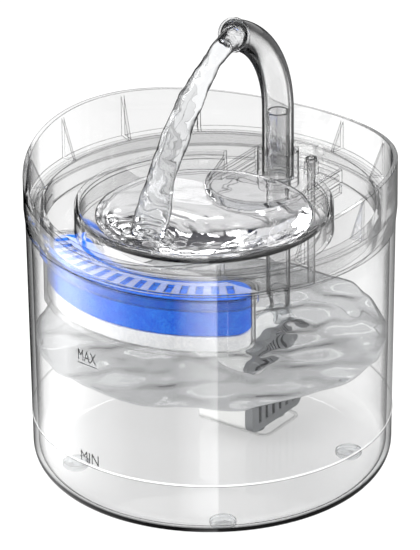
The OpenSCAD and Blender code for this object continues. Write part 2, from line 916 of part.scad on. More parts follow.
// Laminated core: a yoke beside two limbs that hold the rotor well between them
module stator_core() {
    color([0.5, 0.52, 0.55])
    difference() {
        translate([core_x0, core_y0, motor_z - core_half_h])
            cube([core_t, core_y1 - core_y0, 2 * core_half_h]);
        translate([core_x0 - 1, core_y0 + core_limb, motor_z - core_half_h + core_limb])
            cube([core_t + 2, motor_y - core_y0 - core_limb, 2 * (core_half_h - core_limb)]);
        along_x(core_hole_r, core_x0 - 1, core_x1 + 1, motor_y, motor_z);
    }
}

// Winding round the yoke of the core
module stator_coil() {
    color([0.75, 0.42, 0.18])
    difference() {
        translate([core_x0 - coil_build, core_y0 - coil_build, motor_z - coil_half_h])
            cube([core_t + 2 * coil_build, core_limb + 2 * coil_build, 2 * coil_half_h]);
        translate([core_x0 - seat / 2, core_y0 - seat / 2, motor_z - core_half_h])
            cube([core_t + seat, core_limb + seat, 2 * core_half_h]);
    }
}

module driver_board() {
    color([0.1, 0.4, 0.2])
    translate([back_x + back_plate_t + seat, pump_y0 + pump_wall + board_gap,
        pump_z0 + pump_wall + board_gap])
        cube([board_t, motor_y - core_hole_r - pump_y0 - pump_wall - board_gap,
            pump_h - 2 * pump_wall - 2 * board_gap]);
}

module back_plate() {
    color([0.2, 0.2, 0.21])
    pump_block(back_x + 0.1, back_x + back_plate_t, pump_wall + slip);
}

module cable_gland() {
    color([0.2, 0.2, 0.21])
    translate([gland_x, 0, gland_z])
        rotate([-90, 0, 0])
            difference() {
                union() {
                    translate([0, 0, pump_y1 + 0.1])
                        cylinder(d1 = gland_d, d2 = gland_d - gland_taper, h = gland_l);
                    translate([0, 0, pump_y1 - pump_wall])
                        cylinder(d = gland_stem_d - 2 * slip, h = pump_wall + 1);
                }
                translate([0, 0, pump_y1 + 1])
                    cylinder(d = gland_bore, h = gland_l + 1);
            }
}

// Stems of the four suction cups
module cup_stems(d, depth) {
    for (sx = [-1, 1], sy = [-1, 1])
        translate([cup_cx + sx * cup_span_x / 2, pump_cy + sy * cup_span_y / 2, pump_z0 - eps])
            cylinder(d = d, h = depth - 0.2);
}

module suction_cups() {
    color([0.8, 0.82, 0.84, 0.7]) {
        cup_stems(cup_stem_d, pump_wall - 0.3);
        for (sx = [-1, 1], sy = [-1, 1])
            translate([cup_cx + sx * cup_span_x / 2, pump_cy + sy * cup_span_y / 2, floor_z])
                rotate_extrude()
                    polygon([
                        [0, cup_lip],
                        [cup_d / 2 - cup_lip, 0],
                        [cup_d / 2, 0],
                        [cup_stem_d / 2 + 1, cup_h - cup_lip],
                        [cup_stem_d / 2 + 1, cup_h],
                        [0, cup_h]
                    ]);
    }
}

tank();
tank_feet();
tray();
spout();
spout_washer();
riser_tube();
riser_sleeve();
cable_guide();
filter_case();
filter_foam();
filter_wadding();
carbon_bed();
pump_housing();
pump_grille();
grille_sponge();
impeller_cover();
impeller();
rotor_magnet();
rotor_shaft();
front_bush();
rear_bush();
stator_core();
stator_coil();
driver_board();
back_plate();
cable_gland();
suction_cups();
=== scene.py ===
# %% [markdown]
# # A pet water fountain in clear plastic
# This lesson dresses a small drinking fountain: a clear jar, a clear tray with
# a shallow bowl, a bent spout, a filter cartridge and a little pump.  The hard
# parts are already modelled to size and are loaded as a fixed frame.  Here they
# get their plastics, and the soft and the liquid things are modelled on top.

import math

import bmesh
import bpy
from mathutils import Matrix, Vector


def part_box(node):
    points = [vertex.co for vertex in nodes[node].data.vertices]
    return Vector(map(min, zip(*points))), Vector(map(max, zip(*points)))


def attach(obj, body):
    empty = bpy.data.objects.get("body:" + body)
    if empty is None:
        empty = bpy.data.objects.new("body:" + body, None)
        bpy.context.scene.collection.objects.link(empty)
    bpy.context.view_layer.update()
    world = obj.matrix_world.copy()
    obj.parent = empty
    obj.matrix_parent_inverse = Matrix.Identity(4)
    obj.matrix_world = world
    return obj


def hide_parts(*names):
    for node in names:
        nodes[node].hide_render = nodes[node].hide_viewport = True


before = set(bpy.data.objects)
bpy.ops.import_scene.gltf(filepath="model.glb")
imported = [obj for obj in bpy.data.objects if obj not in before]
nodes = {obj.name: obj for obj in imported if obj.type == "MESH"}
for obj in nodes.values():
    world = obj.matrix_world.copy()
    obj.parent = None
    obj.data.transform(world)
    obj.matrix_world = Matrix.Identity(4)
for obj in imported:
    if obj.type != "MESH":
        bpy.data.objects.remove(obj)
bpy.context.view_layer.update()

# %% [markdown]
# Everything on the fountain is given in millimetres, because that is how such
# parts are drawn.  Blender counts in metres, so one short helper changes them.
# The heights and radii below are read from the frame where it can give them,
# so that the water and the foam stay right if the parts change.

# %% Sizes from the frame
MM = 0.001


def box_mm(node):
    """Lowest and highest corner of a node, in millimetres."""
    low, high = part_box(node)
    return [c / MM for c in low], [c / MM for c in high]


tank_low, tank_high = box_mm("tank")
spout_high = box_mm("spout")[1]
tank_radius = tank_high[0]
print("tank radius", round(tank_radius, 1), "spout top", round(spout_high[2], 1))

# %% [markdown]
# ## The camera
# A long lens from slightly above flattens the picture the way a catalogue shot
# does: the jar's sides stay almost parallel.  The camera stands 2.4 m away and
# 35 degrees round from the front, where the bowl, the spout and the filter all
# show at once.

# %% Camera
CAMERA_AZIMUTH = 35.0
CAMERA_ELEVATION = 25.4
CAMERA_DISTANCE = 2360 * MM
CAMERA_LENS = 316
CAMERA_ROLL = -0.5
AIM_HEIGHT = 102.4 * MM
AIM_SIDE = -0.5 * MM

azimuth = math.radians(CAMERA_AZIMUTH)
elevation = math.radians(CAMERA_ELEVATION)
away = Vector((
    math.sin(azimuth) * math.cos(elevation),
    -math.cos(azimuth) * math.cos(elevation),
    math.sin(elevation),
))
right = Vector((math.cos(azimuth), math.sin(azimuth), 0))
aim = Vector((0, 0, AIM_HEIGHT)) + right * AIM_SIDE

bpy.ops.object.camera_add(location=aim + away * CAMERA_DISTANCE)
camera = bpy.context.object
camera.data.lens = CAMERA_LENS
camera.rotation_mode = "QUATERNION"
camera.rotation_quaternion = (-away).to_track_quat("-Z", "Y")
camera.rotation_mode = "XYZ"
camera.rotation_euler.rotate_axis("Z", math.radians(CAMERA_ROLL))
bpy.context.scene.camera = camera
print("camera at", [round(c, 3) for c in camera.location])

# %% [markdown]
# ## Helpers for finishes
# A colour is written the way a designer gives it, as a hex value in sRGB, and
# one function turns it into the linear light that Blender mixes.  Another adds
# a shader node, sets its sockets and joins its inputs, so that a material reads
# as a short list.

# %% Colour and node helpers


def linear(hex_code):
    """An sRGB hex colour such as "#1f6fe0" as linear red, green, blue and alpha."""
    parts = [int(hex_code[i:i + 2], 16) / 255 for i in (1, 3, 5)]
    return (*[c / 12.92 if c <= 0.04045 else ((c + 0.055) / 1.055) ** 2.4 for c in parts], 1)


def add(tree, kind, *feeds, settings=None, **inputs):
    """Adds a node of a kind, with its operation where it has one, such as "Math ADD".

    feeds go to its inputs in their order and the others by name.  Each is a value, a socket or a
    node, whose first output is taken.  settings are the node's own options.
    """
    kind, _, operation = kind.partition(" ")
    made = tree.nodes.new("ShaderNode" + kind)
    if operation:
        made.operation = operation
    for option, value in (settings or {}).items():
        setattr(made, option, value)
    for name, value in [*enumerate(feeds), *inputs.items()]:
        socket = made.inputs[name if isinstance(name, int) else name.replace("_", " ")]
        if isinstance(value, bpy.types.Node):
            value = value.outputs[0]
        if isinstance(value, bpy.types.NodeSocket):
            tree.links.new(value, socket)
        else:
            socket.default_value = value
    return made


def new_material(name):
    """A new material and its node tree, with no nodes in it yet."""
    made = bpy.data.materials.new(name)
    made.use_nodes = True
    made.node_tree.nodes.clear()
    return made, made.node_tree


print("blue in linear light:", [round(c, 3) for c in linear("#0654ee")])

# %% [markdown]
# ## Clear moulded plastic
# The jar, the tray and the filter case are injection moulded in a clear styrene
# resin (SAN), and the spout and the pipes are acrylic tube (PMMA).  Both are
# bright as glass, but grey where one looks along a wall.  Part of that grey is
# real absorption inside the wall, which a volume shader gives.  The rest is
# painted shade: the wall's colour darkens as the look slants, so that the walls
# look almost black edge on and nearly invisible face on.  Light on its way to
# what lies inside passes straight through (the shadow rays).  A thin even wall
# that is met head on hardly bends the view either, so there the shader is a
# clear pane with a weak mirror, and only steep and round places truly refract.
# The surface is very slightly uneven, as a moulded wall is, and each sharp edge
# is in truth a small round one.  A Bevel node finds those edges, and painted
# shade draws a dark line along them, for the dark that a real round edge bends
# into view.

# %% Levels and radii in the clear parts
# heights and lengths in mm that the boxes of the nodes don't tell
WATER_LEVEL = 72.5
BOWL_LEVEL = 137.7
TANK_DRAFT = 1.2
FLOOR_THICK = 3.0
FLOOR_TOP = tank_low[2] + FLOOR_THICK
CORNER_OUT = 14.0
MIN_LINE = 32.9
MIN_LINE_HALF = 0.42
MOAT_FLOOR = 130.0
SLOTS_IN_FRONT_OF = -50
DISH_EDGE = 142.0
DISH_DEPTH = 17.0
DISH_RIM_RADIUS = 61.0
BOWL_FRONT = 5.5
SPOUT_TUBE_RADIUS = 7.85
SOCKET_REACH = 12
dish_radius = (DISH_RIM_RADIUS ** 2 + DISH_DEPTH ** 2) / (2 * DISH_DEPTH)
dish_centre = DISH_EDGE - DISH_DEPTH + dish_radius
print("dish radius", round(dish_radius, 1), "mm, centre at height", round(dish_centre, 1))

# %% [markdown]
# ### Masks for places that look different
# A mask works a few places out from their shape and gives three shares: how
# much painted shade darkens a place, how much it must be clear, and how much a
# painted highlight whitens it.  The jar's round lower corner gets painted shade,
# darkest halfway round its bend.  Its flat floor all but vanishes on the paper,
# and its MIN line gets a painted highlight, a white line on its ridge.

# %% Mask of the jar
MASK_SKIN = 1.3
JUST_ABOVE = 0.05
JUST_PAST = 0.01
OUTER_DEPTH = 2.0


def no_mask(tree, place):
    """A dry piece without painted shade or a painted highlight."""
    return 0.0, 0.0, 0.0


def jar_mask(tree, place):
    """Painted shade in the round corner, whether a place is on the flat floor, and the MIN line's
    painted highlight.
    """
    axes = add(tree, "SeparateXYZ", place).outputs
    from_above = add(tree, "CombineXYZ", axes["X"], axes["Y"])
    radius = add(tree, "VectorMath LENGTH", from_above).outputs["Value"]
    past_floor = add(tree, "Math SUBTRACT", radius, (tank_radius - TANK_DRAFT - CORNER_OUT) * MM)
    out = add(tree, "Math MAXIMUM", past_floor, 0.0)
    below_wall = add(tree, "Math SUBTRACT", (tank_low[2] + CORNER_OUT) * MM, axes["Z"])
    down = add(tree, "Math MAXIMUM", below_wall, 0.0)
    bend = add(tree, "CombineXYZ", out, down)
    from_bend = add(tree, "VectorMath LENGTH", bend).outputs["Value"]
    # painted shade: darkest halfway round the bend of the round corner, on its outer face and near
    # side
    outer_face = add(tree, "Math GREATER_THAN", from_bend, (CORNER_OUT - MASK_SKIN) * MM)
    near_side = add(tree, "Math SUBTRACT", 1.0, add(tree, "NewGeometry").outputs["Backfacing"])
    middle = add(tree, "Math MULTIPLY", out, down)
    corner = add(tree, "Math MULTIPLY", middle, 2 / (CORNER_OUT * MM) ** 2)
    ink_depth_and_painted_shade = add(tree, "Math MULTIPLY", corner, add(tree, "Math MULTIPLY", outer_face, near_side))
    low = add(tree, "Math LESS_THAN", axes["Z"], (FLOOR_TOP + JUST_ABOVE) * MM)
    flat = add(tree, "Math LESS_THAN", out, JUST_PAST * MM)
    flat_floor = add(tree, "Math MULTIPLY", low, flat)
    # painted highlight: a white line on the outer face of the MIN line
    off_line = add(tree, "Math ABSOLUTE", add(tree, "Math SUBTRACT", axes["Z"], MIN_LINE * MM))
    near_line = add(tree, "Math LESS_THAN", off_line, MIN_LINE_HALF * MM)
    outside = add(tree, "Math GREATER_THAN", radius, (tank_radius - OUTER_DEPTH) * MM)
    return ink_depth_and_painted_shade, flat_floor, add(tree, "Math MULTIPLY", near_line, outside)


print("jar corner starts", tank_radius - TANK_DRAFT - CORNER_OUT, "mm from the axis")

# %% [markdown]
# On the tray, the socket of the spout gets a little painted shade, a dark ring.
# Where water stands on the dish it bends light almost as the resin does, so the
# dish vanishes under it.  The moat gets a painted highlight in front, a white
# share on its floor between its slots.

# %% Mask of the tray
SOCKET_PAINTED_SHADE = 0.1
MOAT_HIGHLIGHT = 0.8
MOAT_HALF = 0.2


def tray_mask(tree, place):
    """Painted shade round the socket, whether a place is on the wet dish, and the moat's painted
    highlight.
    """
    socket_place = (0, (spout_high[1] - SPOUT_TUBE_RADIUS) * MM, 0)
    on_floor = add(tree, "VectorMath MULTIPLY", place, (1, 1, 0))
    from_socket = add(tree, "VectorMath DISTANCE", on_floor, socket_place).outputs["Value"]
    socket = add(tree, "Math LESS_THAN", from_socket, SOCKET_REACH * MM)
    ball = (0, -BOWL_FRONT * MM, dish_centre * MM)
    from_ball = add(tree, "VectorMath DISTANCE", place, ball).outputs["Value"]
    off_dish = add(tree, "Math SUBTRACT", from_ball, (dish_radius + 1) * MM)
    dish = add(tree, "Math LESS_THAN", add(tree, "Math ABSOLUTE", off_dish), MASK_SKIN * MM)
    height = add(tree, "SeparateXYZ", place).outputs["Z"]
    wet = add(tree, "Math MULTIPLY", dish, add(tree, "Math LESS_THAN", height, BOWL_LEVEL * MM))
    # painted highlight: the moat floor in front is whitened between its slots
    off_moat = add(tree, "Math ABSOLUTE", add(tree, "Math SUBTRACT", height, MOAT_FLOOR * MM))
    on_moat = add(tree, "Math LESS_THAN", off_moat, MOAT_HALF * MM)
    ahead = add(tree, "SeparateXYZ", place).outputs["Y"]
    at_front = add(tree, "Math LESS_THAN", ahead, SLOTS_IN_FRONT_OF * MM)
    moat = add(tree, "Math MULTIPLY", on_moat, at_front)
    # painted shade: a dark ring round the spout's socket
    ink_depth_and_painted_shade = add(tree, "Math MULTIPLY", socket, SOCKET_PAINTED_SHADE)
    return ink_depth_and_painted_shade, wet, add(tree, "Math MULTIPLY", moat, MOAT_HIGHLIGHT)


print("socket reaches", SOCKET_REACH, "mm from the spout's axis")

# %% [markdown]
# ### The shader, step by step
# An edge shows where the Bevel node's normal and the real one part.  The tone is
# a ramp: the wall's own grey where it is met head on, nearly white where it is
# met at a slant, and black along a wall and on the edges, which is painted shade.
# The pane lets the view through in that tone and mirrors by Schlick's rule, 5%
# head on and all of it along the wall.

# %% Steps of the clear shader
RESIN_IOR = 1.57
MIRROR_HEAD_ON = 0.05
EDGE_FROM = 0.02
WALL_UP_TO = 0.2
WHITE_FROM = 0.5
LEAST_STEP = 0.02


def edge_share(tree, soft_normal, normal, strength):
    """How much a place belongs to a rounded edge."""
    alike = add(tree, "VectorMath DOT_PRODUCT", soft_normal, normal).outputs["Value"]
    rounded = add(tree, "Math SUBTRACT", 1.0, add(tree, "Math ABSOLUTE", alike))
    sharp = add(tree, "Math MAXIMUM", add(tree, "Math SUBTRACT", rounded, EDGE_FROM), 0.0)
    return add(tree, "Math MULTIPLY", sharp, strength)


def wall_tone(tree, along, wall, rim):
    """The colour of a clear wall by how far one looks along it, with painted shade black from
    rim[0] to rim[1].
    """
    tone = add(tree, "ValToRGB", along)
    stops = tone.color_ramp.elements
    # painted shade: the stop at rim[1] is black
    stops[1].position = rim[1]
    stops[1].color = linear("#050506")
    stops.new(rim[0]).color = linear("#fdfdfd")
    stops.new(min(rim[0] - LEAST_STEP, WHITE_FROM)).color = linear("#fdfdfd")
    stops[0].position = WALL_UP_TO
    stops[0].color = linear(wall)
    return tone


def clear_pane(tree, tone, grazing, normal, outside):
    """A thin clear wall: it tints the view without bending it, and mirrors on its outer face."""
    slanted = add(tree, "Math POWER", grazing, 5.0)
    schlick = add(tree, "Math MULTIPLY_ADD", slanted, 1 - MIRROR_HEAD_ON, MIRROR_HEAD_ON)
    mirror = add(tree, "BsdfAnisotropic", Roughness=0.0, Normal=normal)
    clear = add(tree, "BsdfTransparent", tone)
    return add(tree, "MixShader", add(tree, "Math MULTIPLY", schlick, outside), clear, mirror)


def pale_shadow(tree, surface, through):
    """The surface for the eye, and for shadow rays a clear filter in the colour of through."""
    is_shadow = add(tree, "LightPath").outputs["Is Shadow Ray"]
    return add(tree, "MixShader", is_shadow, surface, add(tree, "BsdfTransparent", linear(through)))


print("a wall met head on mirrors", MIRROR_HEAD_ON)

# %% [markdown]
# ### The clear plastic
# One function joins the steps: the pane where a wall is met head on or is wet,
# the refracting resin where it is steep, a painted highlight in white where the mask asks for it.
# The moulded surface rises and falls by a hair over a length of 50 mm.

# %% Clear plastic
UNEVEN_LENGTH = 50
BEND_STEP = 0.04
PAINTED_SHADE_WEIGHT = 0.5


def clear_plastic(name, wall, rim, density, bent_from, edges, mask=no_mask, round_mm=0.5):
    """A clear moulded resin.

    Its wall colour darkens with painted shade between the two shares of a grazing look in rim, and
    it refracts from bent_from.  density is its grey along a wall, and edges is how strongly painted
    shade darkens its edges.
    """
    made, tree = new_material(name)
    place = add(tree, "TexCoord").outputs["Object"]
    ink_depth_and_painted_shade, wet, painted_highlight = mask(tree, place)
    uneven = add(tree, "TexNoise", Vector=place, Scale=1 / (UNEVEN_LENGTH * MM), Detail=1.0)
    soft_edge = add(tree, "Bevel", settings={"samples": 4}, Radius=round_mm * MM)
    bump = add(
        tree, "Bump", Height=uneven.outputs["Fac"], Strength=0.15, Distance=0.2 * MM,
        Normal=soft_edge,
    )
    grazing = add(tree, "LayerWeight", Blend=0.5, Normal=bump).outputs["Facing"]
    geometry = add(tree, "NewGeometry").outputs
    outside = add(tree, "Math SUBTRACT", 1.0, geometry["Backfacing"])
    edge = edge_share(tree, soft_edge, geometry["Normal"], edges)
    # painted shade: the mask's dark share, the slant of the look and the edges darken the wall's
    # colour
    painted_darkening = add(tree, "Math ADD", add(tree, "Math MULTIPLY", ink_depth_and_painted_shade, PAINTED_SHADE_WEIGHT), grazing)
    tone = wall_tone(tree, add(tree, "Math ADD", painted_darkening, edge), wall, rim)
    body = add(
        tree, "BsdfPrincipled", Base_Color=tone, Roughness=0.0, IOR=RESIN_IOR, Normal=bump,
        Transmission_Weight=1.0,
    )
    pane = clear_pane(tree, tone, grazing, bump, outside)
    unbent = add(
        tree, "MapRange", Value=grazing, From_Min=bent_from, From_Max=bent_from + BEND_STEP,
        To_Min=1.0, To_Max=0.0,
    )
    clean = add(tree, "MixShader", add(tree, "Math MAXIMUM", wet, unbent), body, pane)
    head_on = add(tree, "Math SUBTRACT", 1.0, grazing)
    # painted highlight: white on outer faces met head on, where the mask asks for it
    outer_highlight = add(tree, "Math MULTIPLY", painted_highlight, outside)
    whitish = add(tree, "Math MULTIPLY", outer_highlight, head_on)
    seen = add(tree, "MixShader", whitish, clean, add(tree, "BsdfDiffuse", linear("#ffffff")))
    grey_inside = add(tree, "VolumeAbsorption", linear("#8f9091"), density)
    surface = pale_shadow(tree, seen, "#fefefe")
    add(tree, "OutputMaterial", Surface=surface, Volume=grey_inside)
    return made


print("surface waves:", UNEVEN_LENGTH, "mm")

# %% [markdown]
# ### Four clear plastics
# The jar and the filter case are even thin walls, so they never bend the view
# here.  The tray bends it only along its steep walls, and the thin round tubes
# bend it everywhere.  The tray's edges are the roundest and get the strongest
# painted dark lines.

# %% Clear plastics of the fountain
NEVER_BENT = 1.1
BENT_WHERE_STEEP = 0.68
ALWAYS_BENT = -0.1

jar_plastic = clear_plastic(
    "clear_san_moulded_jar", "#f7f7f7", (0.75, 1.0), 20, NEVER_BENT, 4.0, jar_mask,
)
case_plastic = clear_plastic(
    "clear_san_moulded_case", "#fdfdfd", (0.6, 0.85), 10, NEVER_BENT, 6.0,
)
tray_plastic = clear_plastic(
    "clear_san_moulded_tray", "#f5f5f5", (0.66, 0.86), 4, BENT_WHERE_STEEP, 9.0, tray_mask, 0.8,
)
pipe_plastic = clear_plastic(
    "clear_pmma_tube", "#f3f3f3", (0.42, 0.54), 12, ALWAYS_BENT, 4.0, round_mm=0.4,
)
clears = (jar_plastic, case_plastic, tray_plastic, pipe_plastic)
print("clear plastics:", [plastic.name for plastic in clears])

# %% [markdown]
# ## Opaque plastics and the small parts
# The pump's housing is white ABS with the fine even grain of a spark-eroded
# tool, and its grille is grey ABS.  That grain is a tenth of a millimetre wide,
# too fine to show, so it is drawn at 0.8 mm.  The grains of the other solids are
# drawn coarser than they are as well.  Metal, ferrite, ceramic and rubber are
# mostly hidden, but each still gets what its real counterpart shows.

# %% Solid materials
BROAD_CHANGE = 12


def grained(name, colour, roughness, grain_mm, grain, spread=0.06, **extra):
    """A moulded or sintered solid: one colour, a fine grain, and a little change in roughness."""
    made, tree = new_material(name)
    place = add(tree, "TexCoord").outputs["Object"]
    fine = add(tree, "TexNoise", Vector=place, Scale=1 / (grain_mm * MM), Detail=3.0)
    broad = add(tree, "TexNoise", Vector=place, Scale=1 / (BROAD_CHANGE * MM), Detail=2.0)
    shine = add(
        tree, "MapRange", Value=broad.outputs["Fac"], To_Min=roughness - spread,
        To_Max=roughness + spread,
    )
    bump = add(tree, "Bump", Height=fine.outputs["Fac"], Strength=grain, Distance=0.1 * MM)
    body = add(
        tree, "BsdfPrincipled", Base_Color=linear(colour), Roughness=shine, Normal=bump, **extra,
    )
    add(tree, "OutputMaterial", Surface=body)
    return made


# moulded against a spark-eroded tool: opaque, with an even, silky sheen
white_abs = grained("white_abs_moulded", "#f4f4f2", 0.38, 0.8, 0.15, IOR=1.54)
grey_abs = grained("grey_abs_moulded", "#86888a", 0.45, 0.8, 0.15, IOR=1.54)
# nitrile rubber is dull and nearly black
black_rubber = grained("black_nbr_rubber", "#1b1b1c", 0.6, 0.5, 0.2, IOR=1.52)
# poured resin settles flat and glossy, with slow waves in it
black_epoxy = grained("black_epoxy_potted", "#17181a", 0.22, 6, 0.3, IOR=1.55)
# pressed powder: dark, a little metallic, with its grains in the surface
ferrite = grained("ferrite_sintered", "#2c2c2e", 0.4, 0.4, 0.25, Metallic=0.6)
# ground ceramic is off-white and finely smooth
alumina = grained("alumina_ceramic_ground", "#f1ede2", 0.25, 0.3, 0.1, IOR=1.76)
# bare stamped sheet: plain grey metal
core_steel = grained("silicon_steel_stamped", "#8c9095", 0.35, 0.5, 0.3, Metallic=1.0)
# glass fibre under solder mask: green with the gloss of a lacquer
board_green = grained("fr4_solder_mask", "#1c5a34", 0.3, 0.8, 0.15, IOR=1.5)
# loose grains over a millimetre wide, black and without shine
carbon_grains = grained("activated_carbon_grains", "#141416", 0.75, 1.2, 1.0)
print("materials so far:", len(bpy.data.materials))

# %% [markdown]
# Enamelled copper wire is wound in close turns 0.3 mm apart.  That is too fine
# to show, so a wave texture ridges the coil about six times as coarsely, and
# its colour follows the ridges: painted shade darker in the grooves, paler on the crests.

# %% Copper winding
WIRE_PITCH = 0.3
WAVES_AT_SCALE_1 = 20


def copper_winding():
    """Copper in the colour of its enamel, ridged by the turns of the wire, with painted shade in
    the grooves.
    """
    made, tree = new_material("copper_wire_enamelled")
    place = add(tree, "TexCoord").outputs["Object"]
    turns = add(
        tree, "TexWave", settings={"bands_direction": "Z"}, Vector=place,
        Scale=1 / (WIRE_PITCH * MM * WAVES_AT_SCALE_1), Distortion=0.4, Detail=1.0,
    ).outputs["Fac"]
    # painted shade: darker copper in the grooves between the turns, paler on their crests
    tone = add(tree, "ValToRGB", turns)
    tone.color_ramp.elements[0].color = linear("#7a3a17")
    tone.color_ramp.elements[1].color = linear("#d18048")
    bump = add(tree, "Bump", Height=turns, Strength=0.7, Distance=WIRE_PITCH / 2 * MM)
    body = add(
        tree, "BsdfPrincipled", Base_Color=tone, Metallic=1.0, Roughness=0.32, Normal=bump,
    )
    add(tree, "OutputMaterial", Surface=body)
    return made


copper_wire = copper_winding()
print("winding:", copper_wire.name)

# %% [markdown]
# ## Silicone
# The feet, the suction cups, the washer and the riser's sleeve are clear
# silicone rubber: soft, milky and a little matt.  Light enters it and comes out
# again nearby, so most passes and a little comes back as pale body colour.

# %% Silicone
MIST_LENGTH = 3


def milky_silicone():
    """Clear rubber with a slight mist in it, which lets its shadow stay pale."""
    made, tree = new_material("silicone_rubber_moulded")
    place = add(tree, "TexCoord").outputs["Object"]
    mist = add(tree, "TexNoise", Vector=place, Scale=1 / (MIST_LENGTH * MM), Detail=3.0)
    tone = add(tree, "ValToRGB", mist.outputs["Fac"])
    tone.color_ramp.elements[0].color = linear("#e4e7ea")
    tone.color_ramp.elements[1].color = linear("#f6f8f9")
    body = add(
        tree, "BsdfPrincipled", Base_Color=tone, Roughness=0.12, IOR=1.41,
        Transmission_Weight=0.95,
    )
    add(tree, "OutputMaterial", Surface=pale_shadow(tree, body, "#f3f3f3"))
    return made


silicone = milky_silicone()
print("soft clear rubber:", silicone.name)

# %% [markdown]
# ## Dressing the parts
# The parts come with material slots of their own.  One table says what each is
# made of, and the slots are filled from it; the meshes stay as they are.

# %% Give every hard part its material
FINISHES = {
    "tank": jar_plastic, "tray": tray_plastic, "spout": pipe_plastic, "riser_tube": pipe_plastic,
    "cable_guide": pipe_plastic, "filter_case": case_plastic, "tank_feet": silicone,
    "spout_washer": silicone, "riser_sleeve": silicone, "suction_cups": silicone,
    "pump_housing": white_abs, "impeller_cover": white_abs, "impeller": white_abs,
    "pump_grille": grey_abs, "front_bush": black_rubber, "rear_bush": black_rubber,
    "cable_gland": black_rubber, "back_plate": black_epoxy, "rotor_magnet": ferrite,
    "rotor_shaft": alumina, "stator_core": core_steel, "stator_coil": copper_wire,
    "driver_board": board_green, "carbon_bed": carbon_grains,
}
for name, finish in FINISHES.items():
    for slot in nodes[name].material_slots:
        slot.material = finish
print("finished nodes:", len(FINISHES))

# %% [markdown]
# ## Ways of working
# New pieces are modelled the way one would at the screen: add a primitive at
# its size and place, go into edit mode, pick some faces and work on them.  An
# operator acts on all that is selected, so each piece starts with a clean
# selection.

# %% Modelling helpers


def start_clean():
    """Leaves edit mode and deselects everything."""
    if bpy.context.mode != "OBJECT":
        bpy.ops.object.mode_set(mode="OBJECT")
    bpy.ops.object.select_all(action="DESELECT")


def name_piece(name):
    """Names the object that the last operator added."""
    made = bpy.context.object
    made.name = name
    made.data.name = name
    return made


def pick(obj, kind, test):
    """In edit mode, selects the verts, edges or faces that pass the test, and nothing else."""
    bpy.ops.mesh.select_mode(type={"verts": "VERT", "edges": "EDGE", "faces": "FACE"}[kind])
    mesh = bmesh.from_edit_mesh(obj.data)
    for item in [*mesh.faces, *mesh.edges, *mesh.verts]:
        item.select = False
    for item in [item for item in getattr(mesh, kind) if test(item)]:
        item.select_set(True)
    mesh.select_flush_mode()
    bmesh.update_edit_mesh(obj.data)


def apply_modifiers(obj):
    """Applies every modifier of the object, from the top down."""
    bpy.context.view_layer.objects.active = obj
    for modifier in list(obj.modifiers):
        bpy.ops.object.modifier_apply(modifier=modifier.name)


def settle(obj):
    """Bakes the object's place into its mesh, so that its origin is the frame's."""
    start_clean()
    obj.select_set(True)
    bpy.context.view_layer.objects.active = obj
    bpy.ops.object.transform_apply(location=True, rotation=True, scale=True)


def finish_piece(obj, body, *materials):
    """Puts the piece in place for good: origin, materials and the body that carries it."""
    settle(obj)
    obj.data.materials.clear()
    for material in materials:
        obj.data.materials.append(material)
    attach(obj, body)
    print(obj.name, len(obj.data.polygons), "faces, rides on", body)


# %% [markdown]
# ## Water
# Water is clear, so it is told by its surface: it bends the view and it mirrors
# the room, which is darker above.  Its colour adds painted shade to that: a grey
# tint on the still water and a dark tone where one looks along a ripple.  The
# body of the water touches a clear wall that has almost the same refraction, so
# a real eye sees no surface there.  The sides and the bottom of each body of
# water are therefore made to vanish, and only the open surface bends light.

# %% Water materials


def water_surface(name, tint, rim, rim_from, rim_to, ripple_mm, ripple):
    """An open surface of water, painted from tint met head on to a dark rim where one looks along
    it.
    """
    made, tree = new_material(name)
    place = add(tree, "TexCoord").outputs["Object"]
    small = add(tree, "TexNoise", Vector=place, Scale=1 / (ripple_mm * MM), Detail=2.0)
    bump = add(tree, "Bump", Height=small.outputs["Fac"], Strength=ripple, Distance=0.6 * MM)
    grazing = add(tree, "LayerWeight", Blend=0.5, Normal=bump).outputs["Facing"]
    tone = add(tree, "ValToRGB", grazing)
    tone.color_ramp.elements[0].color = linear(tint)
    tone.color_ramp.elements[0].position = rim_from
    tone.color_ramp.elements[1].color = linear(rim)
    tone.color_ramp.elements[1].position = rim_to
    body = add(
        tree, "BsdfPrincipled", Base_Color=tone, Roughness=0.0, IOR=1.333, Normal=bump,
        Transmission_Weight=1.0,
    )
    add(tree, "OutputMaterial", Surface=pale_shadow(tree, body, "#fdfdfd"))
    return made


def water_side(name):
    """The face of the water that touches a clear wall, where no surface is seen."""
    made, tree = new_material(name)
    add(tree, "OutputMaterial", Surface=add(tree, "BsdfTransparent", linear("#ffffff")))
    return made


# painted shade: the still water's grey tint and each surface's dark rim tone
deep_water = water_surface("water_still_surface", "#b4b6b8", "#3c3d3f", 0.57, 0.8, 14, 0.5)
bowl_water = water_surface("water_rippled_surface", "#fcfcfd", "#0a0b0c", 0.6, 0.76, 12, 0.15)
falling_water = water_surface("water_falling", "#f4f5f6", "#0a0a0b", 0.38, 0.62, 8, 0.25)
wet_side = water_side("water_against_wall")
print("water materials:", deep_water.name, bowl_water.name, falling_water.name, wet_side.name)

# %% [markdown]
# ### Water in the jar
# The water fills the jar to a little above half.  It starts as a cylinder that
# fits inside the wall; its lower edge is bevelled to the jar's round corner,
# and its top is inset in many narrow rings, which give the ripples faces to
# bend.

# %% Water in the jar
WALL = 2.6
SKIN = 0.15
CORNER = 11.4
low_radius = tank_radius - TANK_DRAFT - WALL - SKIN
DRAFT_AT_SURFACE = 0.62
high_radius = tank_radius - WALL - DRAFT_AT_SURFACE - SKIN
RINGS = 40
SIDES = 160

